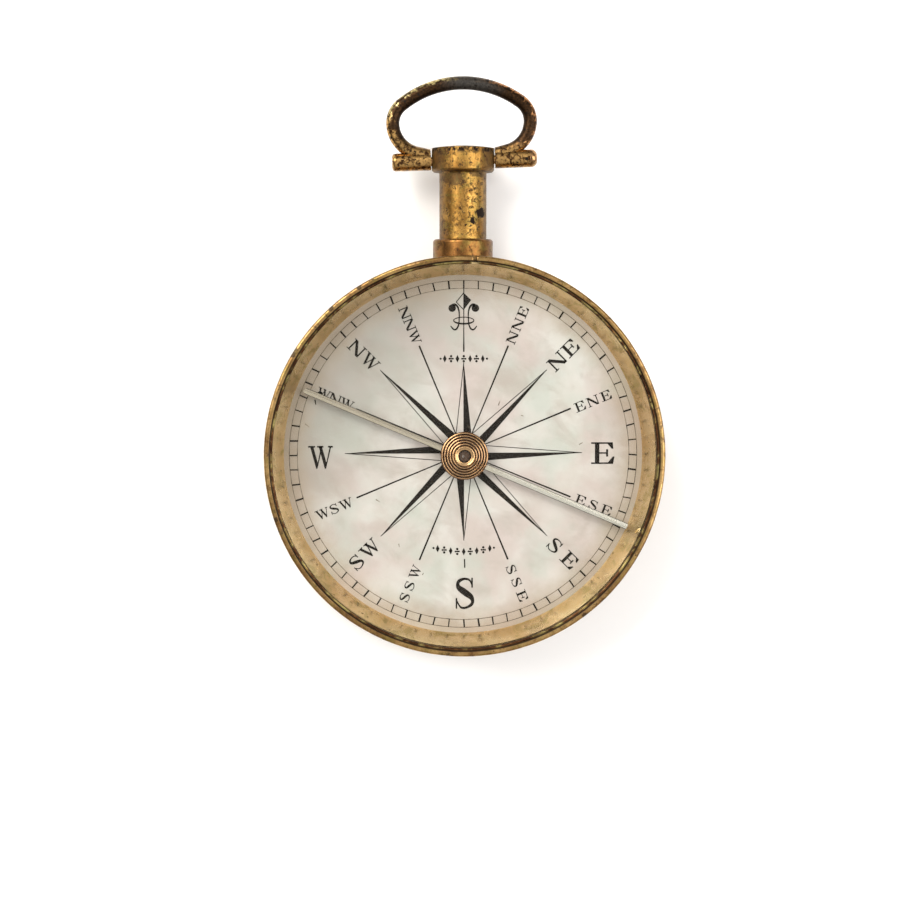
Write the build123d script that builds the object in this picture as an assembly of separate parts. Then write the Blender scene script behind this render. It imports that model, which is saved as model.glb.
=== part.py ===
from build123d import *
import math
import os

# Pocket compass in a gilt-brass watch-style case, with a push-in needle lock in its pendant.
# The case lies on its back: the origin is the centre of the back's flat outside face, +Z points
# out through the dial, and the pendant and bow point along +Y.

# Driving dimensions, millimetres
CASE_R = 20.0             # outside radius of the front and back beads
CASE_H = 10.0             # back face to the front of the rim
WALL_R = 19.8             # outside radius of the drum between its beads
BEAD_H = 1.1
BEAD_SLOPE = 0.2
BORE_R = 19.45            # inside radius above the dial ledge
LEDGE_R = 18.6            # inside radius below the dial ledge
LEDGE_Z = 5.6
BACK_R = 19.2
BACK_T = 0.8
DIAL_R = 19.35
DIAL_T = 0.8
DIAL_HOLE_R = 1.05
REHAUT_LOW_R = 18.15      # sloping inner wall, at the dial
REHAUT_TOP_R = 19.22      # sloping inner wall, under the glass
REHAUT_OUT_R = 19.4
GLASS_Z = 8.6             # underside of the glass at its edge
GLASS_R = 19.4
GLASS_T = 0.8
GLASS_RISE = 0.35
RING_IN_R = 19.18         # split ring that holds the glass
RING_OUT_R = 19.4
RING_T = 0.38
RING_GAP = 0.7
RING_GAP_X = 0.95
RING_CLEARANCE = 0.04

PENDANT_Z = 4.7           # height of the pendant's axis
COLLAR_R = 3.03
COLLAR_TOP_Y = 21.75
COLLAR_DEPTH = 1.2        # how far the collar reaches into the drum's curve
STEM_R = 2.38
STEM_FIT = 0.05
HEAD_R = 3.15
HEAD_LOW_Y = 28.48
HEAD_H = 2.38
HEAD_DOME = 0.27
SPIGOT_R = 0.75
SPIGOT_FIT = 0.05
SPIGOT_END_Y = 13.6
PUSH = 1.2                # travel of the needle lock
PUSH_SPARE = 0.15         # room left under the stem when it is fully in

BOW_PIVOT_Y = 29.68
BOW_SKEW_DEG = 2.0        # the bow's screw is bored this far out of square
BOW_WIRE_R = 0.68
BOW_HALF_W = 6.95         # centreline of the wire at the widest
BOW_WIDE_V = 3.85         # height of the widest point above the pivot
BOW_TOP_V = 7.75
BOW_SHOULDER_R = 2.35     # side arc above the widest point
BOW_CHEEK_R = 3.1         # side arc below the widest point
BOW_CHEEK_DEG = 76.0
KNUCKLE_R = 0.9
KNUCKLE_IN_X = 3.25
KNUCKLE_LEFT_X = 7.15
KNUCKLE_RIGHT_X = 6.75
BOW_SCREW_R = 0.45
BOW_SCREW_FIT = 0.07
BOW_SCREW_HEAD = 0.75
BOW_SCREW_BITE = 1.0      # metal left beyond the screw in the closed knuckle

NEEDLE_LENGTH = 35.4
NEEDLE_SHIFT = 0.3        # the square end is this much further out
NEEDLE_W = 0.62
NEEDLE_Z = 7.55
NEEDLE_EDGE_T = 0.1
NEEDLE_T = 0.21
NEEDLE_HUB_R = 1.5
NEEDLE_DEG = -23.1        # the square end points east-south-east
NEEDLE_ASIDE = 0.2        # the old blade sits this far to one side of its pivot
CAP_R = 2.42
CAP_RINGS = 5
CAP_RING_W = 0.27
CAP_RING_RISE = 0.10
CAP_GROOVE = 0.10
CAP_FLANGE_T = 0.18
CAP_TOP_Z = 8.5
CAP_HOLE_R = 0.55
JEWEL_R = 0.7
JEWEL_Z = 7.45
JEWEL_T = 0.7
JEWEL_CUP_R = 0.45
CAP_TUBE_R = 0.95
CAP_TUBE_Z = 7.12
COLLET_T = 0.33
LIFT = 0.4                # rise of the needle when the lock is pushed in

PIVOT_FOOT_R = 2.5
POST_R = 0.45
POST_LOW_Z = 1.1
POST_CONE_Z = 6.6
POST_TIP_Z = 7.9
POST_TIP_R = 0.012
COLLAR_GAP = 0.05
SLEEVE_R = 0.95
FLANGE_R = 1.9
FLANGE_Z = 3.2
LEVER_PIVOT_Y = 7.0
LEVER_PIVOT_Z = 2.9
LEVER_W = 1.9
LEVER_BOSS_R = 0.75
LEVER_PIN_R = 0.4
FORK_HALF_W = 1.35
FORK_R = 0.75
NIB_Y = 12.5
NIB_R = 0.35
NOSE_NIB_R = 0.25
BRACKET_T = 0.6
EAR_IN_X = LEVER_W / 2 + 0.15
EAR_OUT_X = EAR_IN_X + 0.45
EAR_R = 0.8
SCREW_X = 2.4
SCREW_SHANK_R = 0.4
SCREW_HEAD_R = 0.7
SCREW_HEAD_T = 0.45
SCREW_SLOT_W = 0.2
SCREW_BITE = 0.6

WEDGE_GAP = 0.05
WEDGE_LOW_Y = 11.4
WEDGE_HIGH_Y = LEDGE_R - 0.35
WEDGE_SLOPE_END_Y = 14.1
WEDGE_HALF_W = 1.1
WEDGE_TOP_Z = LEDGE_Z - 0.15
WEDGE_PIN_R = 0.25
WEDGE_PIN_Y = 16.5

os.makedirs("parts", exist_ok=True)


def save(solid, node):
    """Write one node's STEP file."""
    export_step(solid, f"parts/{node}.step")


def tube(radius, low, high, x=0.0, y=0.0):
    """Upright round bar between two heights."""
    return Pos(x, y, (low + high) / 2) * Cylinder(radius, high - low)


def rod_y(radius, low, high, z=PENDANT_Z, x=0.0):
    """Round bar along Y between two places."""
    return Pos(x, (low + high) / 2, z) * Rot(90, 0, 0) * Cylinder(radius, high - low)


def rod_x(radius, low, high, y, z):
    """Round bar along X between two places."""
    return Pos((low + high) / 2, y, z) * Rot(0, 90, 0) * Cylinder(radius, high - low)


def block(low, high):
    """Box between two corners."""
    size = [far - near for near, far in zip(low, high)]
    middle = [(near + far) / 2 for near, far in zip(low, high)]
    return Pos(*middle) * Box(*size)


def turned(points):
    """Solid of revolution about Z from its half section, as radius and height pairs."""
    outline = Polyline(*[(r, 0, z) for r, z in points], close=True)
    return revolve(make_face(outline), Axis.Z)


def edges_of_radius(solid, radius, height):
    """Circular edges of one radius at one height."""
    found = []
    for edge in solid.edges().filter_by(GeomType.CIRCLE):
        same_radius = abs(edge.radius - radius) < 1e-4
        same_height = abs(edge.center().Z - height) < 1e-4
        if same_radius and same_height:
            found.append(edge)
    return found


# Case: drum with turned beads, soldered back and pendant collar

def make_case_band():
    """Drum wall with two beads, a ledge for the dial and a notch for prising out the glass ring."""
    band = turned([
        (BACK_R, 0), (CASE_R, 0), (CASE_R, BEAD_H), (WALL_R, BEAD_H + BEAD_SLOPE),
        (WALL_R, CASE_H - BEAD_H - BEAD_SLOPE), (CASE_R, CASE_H - BEAD_H), (CASE_R, CASE_H),
        (BORE_R, CASE_H), (BORE_R, LEDGE_Z), (LEDGE_R, LEDGE_Z), (LEDGE_R, BACK_T),
        (BACK_R, BACK_T),
    ])
    band = fillet(edges_of_radius(band, CASE_R, CASE_H), 0.22)
    band = fillet(edges_of_radius(band, BORE_R, CASE_H), 0.14)
    band = fillet(edges_of_radius(band, CASE_R, CASE_H - BEAD_H), 0.12)
    band = fillet(edges_of_radius(band, CASE_R, BEAD_H), 0.12)
    band = fillet(edges_of_radius(band, CASE_R, 0), 0.3)
    band -= rod_y(SPIGOT_R + SPIGOT_FIT, LEDGE_R - 1, CASE_R + 1)
    half = RING_GAP / 5
    notch = block((RING_GAP_X - half, LEDGE_R, CASE_H - 0.5), (RING_GAP_X + half, CASE_R + 1, CASE_H + 1))
    return band - notch


def make_case_back():
    """Flat back plate, drilled for the lever bracket's screws."""
    back = tube(BACK_R, 0, BACK_T)
    for side in (-1, 1):
        back -= tube(SCREW_SHANK_R, BACK_T - SCREW_BITE, BACK_T + 1, side * SCREW_X, LEVER_PIVOT_Y)
    return back


def make_pendant_collar():
    """Round collar soldered to the drum; the pendant's stem slides in it."""
    collar = rod_y(COLLAR_R, WALL_R - COLLAR_DEPTH, COLLAR_TOP_Y)
    rim = collar.edges().filter_by(GeomType.CIRCLE).sort_by(Axis.Y)[-1]
    collar = fillet(rim, 0.33)
    collar -= tube(WALL_R, -1, CASE_H + 1)
    return collar - rod_y(STEM_R + STEM_FIT, WALL_R - 2, COLLAR_TOP_Y + 1)


# Dial, inner wall, glass and its ring

def make_dial_plate():
    """Round dial with a hole for the needle's lifting sleeve."""
    return tube(DIAL_R, LEDGE_Z, LEDGE_Z + DIAL_T) - tube(DIAL_HOLE_R, 0, CASE_H)


def make_rehaut_ring():
    """Sloping polished wall between the dial and the glass."""
    dial_top = LEDGE_Z + DIAL_T
    return turned([
        (REHAUT_LOW_R, dial_top), (REHAUT_OUT_R, dial_top), (REHAUT_OUT_R, GLASS_Z),
        (REHAUT_TOP_R, GLASS_Z),
    ])


def dome_height(radius):
    """Height of the glass's underside at a distance from the middle."""
    sphere_r = (GLASS_R ** 2 + GLASS_RISE ** 2) / (2 * GLASS_RISE)
    return GLASS_Z + GLASS_RISE - sphere_r + math.sqrt(sphere_r ** 2 - radius ** 2)


def dome_arc(lift):
    """Arc of the glass's half section, from the middle to the edge."""
    half = GLASS_R / 2
    middle = (0, GLASS_Z + GLASS_RISE + lift)
    return ThreePointArc(middle, (half, dome_height(half) + lift), (GLASS_R, GLASS_Z + lift))


def make_glass():
    """Watch glass of even thickness, raised a little at its centre."""
    under = dome_arc(0)
    over = dome_arc(GLASS_T)
    outline = under + over + Line(under @ 0, over @ 0) + Line(under @ 1, over @ 1)
    glass = revolve(Plane.XZ * make_face(outline), Axis.Z)
    return chamfer(edges_of_radius(glass, GLASS_R, GLASS_Z + GLASS_T), 0.08)


def make_glass_snap_ring():
    """Split wire ring sprung into the rim above the glass."""
    low = GLASS_Z + GLASS_T + RING_CLEARANCE
    ring = tube(RING_OUT_R, low, low + RING_T) - tube(RING_IN_R, 0, CASE_H + 1)
    ring = fillet(edges_of_radius(ring, RING_IN_R, low + RING_T), 0.12)
    gap = block((RING_GAP_X - RING_GAP / 2, 0, 0), (RING_GAP_X + RING_GAP / 2, CASE_R, CASE_H))
    return ring - gap


# Pivot and lifting gear under the dial

def make_pivot_base():
    """Round foot of the pivot, soldered to the back."""
    foot = turned([
        (0, BACK_T), (PIVOT_FOOT_R, BACK_T), (PIVOT_FOOT_R, BACK_T + 0.6), (PIVOT_FOOT_R / 2, BACK_T + 1),
        (0, BACK_T + 1),
    ])
    return foot - tube(POST_R, POST_LOW_Z, CASE_H)


def make_pivot_post():
    """Steel post, turned to a fine point that carries the needle."""
    return turned([
        (0, POST_LOW_Z), (POST_R, POST_LOW_Z), (POST_R, POST_CONE_Z), (POST_TIP_R, POST_TIP_Z),
        (0, POST_TIP_Z),
    ])


def make_lever_bracket():
    """Two-eared bracket that the lifting lever hangs in."""
    top = BACK_T + BRACKET_T
    reach = SCREW_X + 0.9
    bracket = block((-reach, LEVER_PIVOT_Y - 1.3, BACK_T), (reach, LEVER_PIVOT_Y + 1.3, top))
    for side in (-1, 1):
        near, far = sorted((side * EAR_IN_X, side * EAR_OUT_X))
        bracket += block((near, LEVER_PIVOT_Y - EAR_R, top), (far, LEVER_PIVOT_Y + EAR_R, LEVER_PIVOT_Z))
        bracket += rod_x(EAR_R, near, far, LEVER_PIVOT_Y, LEVER_PIVOT_Z)
        bracket -= tube(SCREW_SHANK_R, 0, CASE_H, side * SCREW_X, LEVER_PIVOT_Y)
    return bracket - rod_x(LEVER_PIN_R, -3, 3, LEVER_PIVOT_Y, LEVER_PIVOT_Z)


def make_lever_screws():
    """Two slotted screws that hold the bracket."""
    top = BACK_T + BRACKET_T
    screws = []
    for side in (-1, 1):
        x = side * SCREW_X
        screw = tube(SCREW_HEAD_R, top, top + SCREW_HEAD_T, x, LEVER_PIVOT_Y)
        screw += tube(SCREW_SHANK_R, BACK_T - SCREW_BITE, top, x, LEVER_PIVOT_Y)
        half = SCREW_SLOT_W / 2
        slot_z = top + 0.6 * SCREW_HEAD_T
        slot = block((x - 1, LEVER_PIVOT_Y - half, slot_z), (x + 1, LEVER_PIVOT_Y + half, CASE_H))
        screws.append(screw - slot)
    return Compound(children=screws)


def make_lever_pin():
    """Pin that the lever turns on, driven into the bracket's ears."""
    return rod_x(LEVER_PIN_R, -EAR_OUT_X - 0.1, EAR_OUT_X + 0.1, LEVER_PIVOT_Y, LEVER_PIVOT_Z)


def make_lift_lever():
    """Lever whose forked nose lifts the sleeve when its tail is pressed down."""
    low = LEVER_PIVOT_Z - 0.25
    high = LEVER_PIVOT_Z + 0.02
    half = LEVER_W / 2
    lever = block((-half, 1.6, low), (half, NIB_Y + 0.6, high + 0.1))
    lever += block((-FORK_HALF_W, -1.1, low), (FORK_HALF_W, 2.0, high))
    lever -= block((-FORK_R, -2.0, low - 1), (FORK_R, 0, high + 1))
    lever -= tube(FORK_R, low - 1, high + 1)
    lever += rod_x(LEVER_BOSS_R, -half, half, LEVER_PIVOT_Y, LEVER_PIVOT_Z)
    lever -= rod_x(LEVER_PIN_R + 0.04, -half - 1, half + 1, LEVER_PIVOT_Y, LEVER_PIVOT_Z)
    lever += rod_x(NIB_R, -half, half, NIB_Y, LEVER_PIVOT_Z + 0.25)
    for side in (-1, 1):
        near, far = sorted((side * (FORK_R + 0.03), side * FORK_HALF_W))
        lever += rod_x(NOSE_NIB_R, near, far, 0, LEVER_PIVOT_Z + 0.02)
    return lever


def make_lift_collar():
    """Flanged sleeve round the pivot that raises the needle."""
    bore = POST_R + COLLAR_GAP
    top = CAP_TUBE_Z - COLLAR_GAP
    return turned([
        (bore, FLANGE_Z), (FLANGE_R, FLANGE_Z), (FLANGE_R, FLANGE_Z + 0.4), (SLEEVE_R, FLANGE_Z + 0.5),
        (SLEEVE_R, top), (bore, top),
    ])


# Needle

def make_needle_blade():
    """Steel strip with a low ridge, rounded at one end and square at the other."""
    w = NEEDLE_W / 2
    round_end_x = NEEDLE_SHIFT - NEEDLE_LENGTH / 2
    section = Plane.YZ * make_face(Polyline(
        (-w, NEEDLE_Z), (w, NEEDLE_Z), (w, NEEDLE_Z + NEEDLE_EDGE_T), (0, NEEDLE_Z + NEEDLE_T),
        (-w, NEEDLE_Z + NEEDLE_EDGE_T), close=True))
    blade = Pos(round_end_x, 0, 0) * extrude(section, NEEDLE_LENGTH)
    corners = block((round_end_x - 1, -w - 1, NEEDLE_Z - 1), (round_end_x + w, w + 1, NEEDLE_Z + 1))
    blade -= corners - tube(w, NEEDLE_Z - 1, NEEDLE_Z + 1, round_end_x + w)
    blade = Pos(0, -NEEDLE_ASIDE, 0) * blade
    blade += tube(NEEDLE_HUB_R, NEEDLE_Z, NEEDLE_Z + NEEDLE_T)
    blade -= tube(CAP_TUBE_R, NEEDLE_Z - 1, NEEDLE_Z + 1)
    return Rot(0, 0, NEEDLE_DEG) * blade


def make_needle_cap():
    """Turned brass cap, stepped and grooved up to its boss, with a tube down through the blade."""
    base = NEEDLE_Z + NEEDLE_T
    outline = [(JEWEL_R, CAP_TUBE_Z), (CAP_TUBE_R, CAP_TUBE_Z), (CAP_TUBE_R, base), (CAP_R, base)]
    for ring in range(CAP_RINGS):
        edge = CAP_R - ring * CAP_RING_W
        inner = edge - CAP_RING_W
        top = base + CAP_FLANGE_T + ring * CAP_RING_RISE
        outline += [
            (edge, top - 0.05), (edge - 0.06, top), (inner + 0.08, top + 0.02), (inner, top - CAP_GROOVE),
        ]
    boss = CAP_R - CAP_RINGS * CAP_RING_W
    rest = CAP_TOP_Z - 0.35
    outline += [
        (boss, CAP_TOP_Z - 0.08), (boss - 0.1, CAP_TOP_Z), (boss - 0.28, CAP_TOP_Z),
        (CAP_HOLE_R, CAP_TOP_Z - 0.15), (CAP_HOLE_R, rest), (JEWEL_R, rest),
    ]
    return turned(outline)


def make_needle_jewel():
    """Agate cup that turns on the pivot's point."""
    top = JEWEL_Z + JEWEL_T
    return turned([
        (0, POST_TIP_Z + 0.03), (JEWEL_CUP_R, JEWEL_Z), (JEWEL_R, JEWEL_Z), (JEWEL_R, top), (0.3, top),
        (0, top - 0.07),
    ])


def make_needle_collet():
    """Ring pressed on the cap's tube under the blade."""
    return tube(NEEDLE_HUB_R, NEEDLE_Z - COLLET_T, NEEDLE_Z) - tube(CAP_TUBE_R, 0, CASE_H)


# Pendant: stem, head and spigot, with the wedge of the needle lock

def skewed(solid):
    """Turned about the pendant's middle by the slant of the bow's screw."""
    return Pos(0, BOW_PIVOT_Y, 0) * Rot(0, 0, BOW_SKEW_DEG) * Pos(0, -BOW_PIVOT_Y, 0) * solid


def make_pendant_stem():
    """Pendant turned in one piece: a domed head, a plain stem and a thin spigot."""
    stem_low = WALL_R + PUSH + PUSH_SPARE
    head_top = HEAD_LOW_Y + HEAD_H
    pendant = turned([
        (0, SPIGOT_END_Y), (SPIGOT_R, SPIGOT_END_Y), (SPIGOT_R, stem_low), (STEM_R, stem_low),
        (STEM_R, HEAD_LOW_Y), (HEAD_R, HEAD_LOW_Y), (HEAD_R, head_top), (0, head_top),
    ])
    pendant = fillet(edges_of_radius(pendant, HEAD_R, HEAD_LOW_Y), 0.3)
    pendant = fillet(edges_of_radius(pendant, STEM_R, HEAD_LOW_Y), 0.2)
    dome_r = (HEAD_R ** 2 + HEAD_DOME ** 2) / (2 * HEAD_DOME)
    dome = Pos(0, 0, head_top + HEAD_DOME - dome_r) * Sphere(dome_r)
    pendant += dome & tube(HEAD_R, head_top - 0.5, head_top + 1)
    pendant = Pos(0, 0, PENDANT_Z) * Rot(-90, 0, 0) * pendant
    pendant -= skewed(rod_x(BOW_SCREW_R + BOW_SCREW_FIT, -5, 5, BOW_PIVOT_Y, PENDANT_Z))
    return pendant - rod_x(WEDGE_PIN_R, -3, 3, WEDGE_PIN_Y, PENDANT_Z)


def wedge_z(y):
    """Height of the wedge's sloping face, which presses on the lever's tail."""
    angle = math.asin(LIFT / LEVER_PIVOT_Y)
    slope = (NIB_Y - LEVER_PIVOT_Y) * math.sin(angle) / PUSH
    return LEVER_PIVOT_Z + 0.25 + NIB_R + WEDGE_GAP - slope * (y - NIB_Y)


def make_plunger_wedge():
    """Sloped block on the spigot's inner end."""
    side = Plane.YZ * make_face(Polyline(
        (WEDGE_LOW_Y, wedge_z(WEDGE_LOW_Y)), (WEDGE_SLOPE_END_Y, wedge_z(WEDGE_SLOPE_END_Y)),
        (WEDGE_HIGH_Y, wedge_z(WEDGE_SLOPE_END_Y)), (WEDGE_HIGH_Y, WEDGE_TOP_Z),
        (WEDGE_LOW_Y, WEDGE_TOP_Z), close=True))
    wedge = Pos(-WEDGE_HALF_W, 0, 0) * extrude(side, 2 * WEDGE_HALF_W)
    wedge -= rod_y(SPIGOT_R, SPIGOT_END_Y, WEDGE_HIGH_Y + 1)
    return wedge - rod_x(WEDGE_PIN_R, -3, 3, WEDGE_PIN_Y, PENDANT_Z)


def make_wedge_pin():
    """Cross pin that locks the wedge to the spigot."""
    return rod_x(WEDGE_PIN_R, -WEDGE_HALF_W, WEDGE_HALF_W, WEDGE_PIN_Y, PENDANT_Z)


# Bow

def bow_path():
    """Centreline of the bow's wire: a top arc, two arcs a side and two short straight feet."""
    side_x = BOW_HALF_W - BOW_SHOULDER_R
    rise = BOW_TOP_V - BOW_WIDE_V
    top_r = (side_x ** 2 + rise ** 2 - BOW_SHOULDER_R ** 2) / (2 * (rise - BOW_SHOULDER_R))
    top_v = BOW_TOP_V - top_r
    join = math.degrees(math.atan2(BOW_WIDE_V - top_v, side_x))
    cheek_x = BOW_HALF_W - BOW_CHEEK_R
    cheek = math.radians(BOW_CHEEK_DEG)
    foot_x = cheek_x + BOW_CHEEK_R * math.cos(cheek)
    foot_v = BOW_WIDE_V - BOW_CHEEK_R * math.sin(cheek)
    end_x = KNUCKLE_IN_X - 0.2
    end_v = foot_v - (foot_x - end_x) / math.tan(cheek)
    lines = [
        Line((end_x, end_v), (foot_x, foot_v)),
        CenterArc((cheek_x, BOW_WIDE_V), BOW_CHEEK_R, -BOW_CHEEK_DEG, BOW_CHEEK_DEG),
        CenterArc((side_x, BOW_WIDE_V), BOW_SHOULDER_R, 0, join),
        CenterArc((0, top_v), top_r, join, 180 - 2 * join),
        CenterArc((-side_x, BOW_WIDE_V), BOW_SHOULDER_R, 180 - join, join),
        CenterArc((-cheek_x, BOW_WIDE_V), BOW_CHEEK_R, 180, BOW_CHEEK_DEG),
        Line((-foot_x, foot_v), (-end_x, end_v)),
    ]
    plane = Plane(origin=(0, BOW_PIVOT_Y, PENDANT_Z), x_dir=(1, 0, 0), z_dir=(0, 0, 1))
    return Wire([(plane * line).edge() for line in lines])


def make_bow():
    """Oval wire bow whose feet run into two knuckles beside the pendant's head."""
    path = bow_path()
    bow = sweep(Plane(origin=path @ 0, z_dir=path % 0) * Circle(BOW_WIRE_R), path)
    left = rod_x(KNUCKLE_R, -KNUCKLE_LEFT_X, -KNUCKLE_IN_X, BOW_PIVOT_Y, PENDANT_Z)
    bow += fillet(left.edges().filter_by(GeomType.CIRCLE).sort_by(Axis.X)[0], 0.35)
    bow += rod_x(KNUCKLE_R, KNUCKLE_IN_X, KNUCKLE_RIGHT_X, BOW_PIVOT_Y, PENDANT_Z)
    bow -= block((-KNUCKLE_IN_X, BOW_PIVOT_Y - 2, 0), (KNUCKLE_IN_X, BOW_PIVOT_Y + 2, CASE_H))
    bow -= rod_x(BOW_SCREW_R, BOW_SCREW_BITE - KNUCKLE_LEFT_X, CASE_R, BOW_PIVOT_Y, PENDANT_Z)
    return skewed(bow)


def make_bow_screw():
    """Long screw through both knuckles and the head, with a domed head."""
    shank = rod_x(BOW_SCREW_R, BOW_SCREW_BITE - KNUCKLE_LEFT_X, KNUCKLE_RIGHT_X, BOW_PIVOT_Y, PENDANT_Z)
    head_end = KNUCKLE_RIGHT_X + BOW_SCREW_HEAD
    head = rod_x(KNUCKLE_R, KNUCKLE_RIGHT_X, head_end, BOW_PIVOT_Y, PENDANT_Z)
    head = fillet(head.edges().filter_by(GeomType.CIRCLE).sort_by(Axis.X)[-1], 0.6)
    return skewed(shank + head)


save(make_case_band(), "case_band")
save(make_case_back(), "case_back")
save(make_pendant_collar(), "pendant_collar")
save(make_dial_plate(), "dial_plate")
save(make_rehaut_ring(), "rehaut_ring")
save(make_glass(), "glass")
save(make_glass_snap_ring(), "glass_snap_ring")
save(make_pivot_base(), "pivot_base")
save(make_pivot_post(), "pivot_post")
save(make_lever_bracket(), "lever_bracket")
save(make_lever_screws(), "lever_screws")
save(make_lever_pin(), "lever_pin")
save(make_lift_lever(), "lift_lever")
save(make_lift_collar(), "lift_collar")
save(make_needle_blade(), "needle_blade")
save(make_needle_cap(), "needle_cap")
save(make_needle_jewel(), "needle_jewel")
save(make_needle_collet(), "needle_collet")
save(make_pendant_stem(), "pendant_stem")
save(make_plunger_wedge(), "plunger_wedge")
save(make_wedge_pin(), "wedge_pin")
save(make_bow(), "bow")
save(make_bow_screw(), "bow_screw")
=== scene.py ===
"""Looks for a gilt-brass pocket compass: worn gilding, printed dial, glass, needle and studio light.

Patterns and the dial's plan are in millimetres from the pivot, with +Y to north and +Z to the glass.
"""
import math
import bmesh
import bpy
from mathutils import Matrix, Vector


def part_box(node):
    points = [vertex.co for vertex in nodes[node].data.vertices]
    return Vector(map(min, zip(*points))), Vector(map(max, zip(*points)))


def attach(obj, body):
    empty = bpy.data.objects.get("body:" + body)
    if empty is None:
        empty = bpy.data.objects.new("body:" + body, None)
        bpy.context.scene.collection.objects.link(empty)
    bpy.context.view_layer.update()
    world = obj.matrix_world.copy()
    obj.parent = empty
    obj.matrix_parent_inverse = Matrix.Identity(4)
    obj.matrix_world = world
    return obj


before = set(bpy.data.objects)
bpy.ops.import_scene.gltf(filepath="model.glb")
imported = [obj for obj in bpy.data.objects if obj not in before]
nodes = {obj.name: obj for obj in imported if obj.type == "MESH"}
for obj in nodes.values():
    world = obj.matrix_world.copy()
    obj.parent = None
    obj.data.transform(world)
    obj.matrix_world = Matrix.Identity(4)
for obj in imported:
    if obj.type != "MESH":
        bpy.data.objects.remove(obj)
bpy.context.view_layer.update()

MM = 0.001
DIAL_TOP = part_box("dial_plate")[1].z
RIM_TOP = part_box("case_band")[1].z
INK = 0.012 * MM          # thickness of the printing on the dial
CAP_RING_WIDTH = 0.27     # turned rings of the needle's cap
NEEDLE_TURN = 23.1        # degrees that the blade lies south of east
NEEDLE_ASIDE = 0.2        # how far the blade sits to one side of its pivot
NEEDLE_HALF_WIDTH = 0.31
BOW_HALF_WIDTH = 6.95     # the bow's oval
BOW_HALF_HEIGHT = 3.9
NOTCH_X = 0.95            # slot in the rim beside the pendant
NOTCH_WIDTH = 0.28
RIM_NICKS = (301, 318, 328, 252, 143)     # bearings of the worn places on the rim


# ---------------------------------------------------------------- material helpers

def linear(r, g, b):
    """Display colour, 0 to 255, as linear RGBA."""
    def channel(v):
        v /= 255
        return v / 12.92 if v <= 0.04045 else ((v + 0.055) / 1.055) ** 2.4
    return (channel(r), channel(g), channel(b), 1.0)


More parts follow.
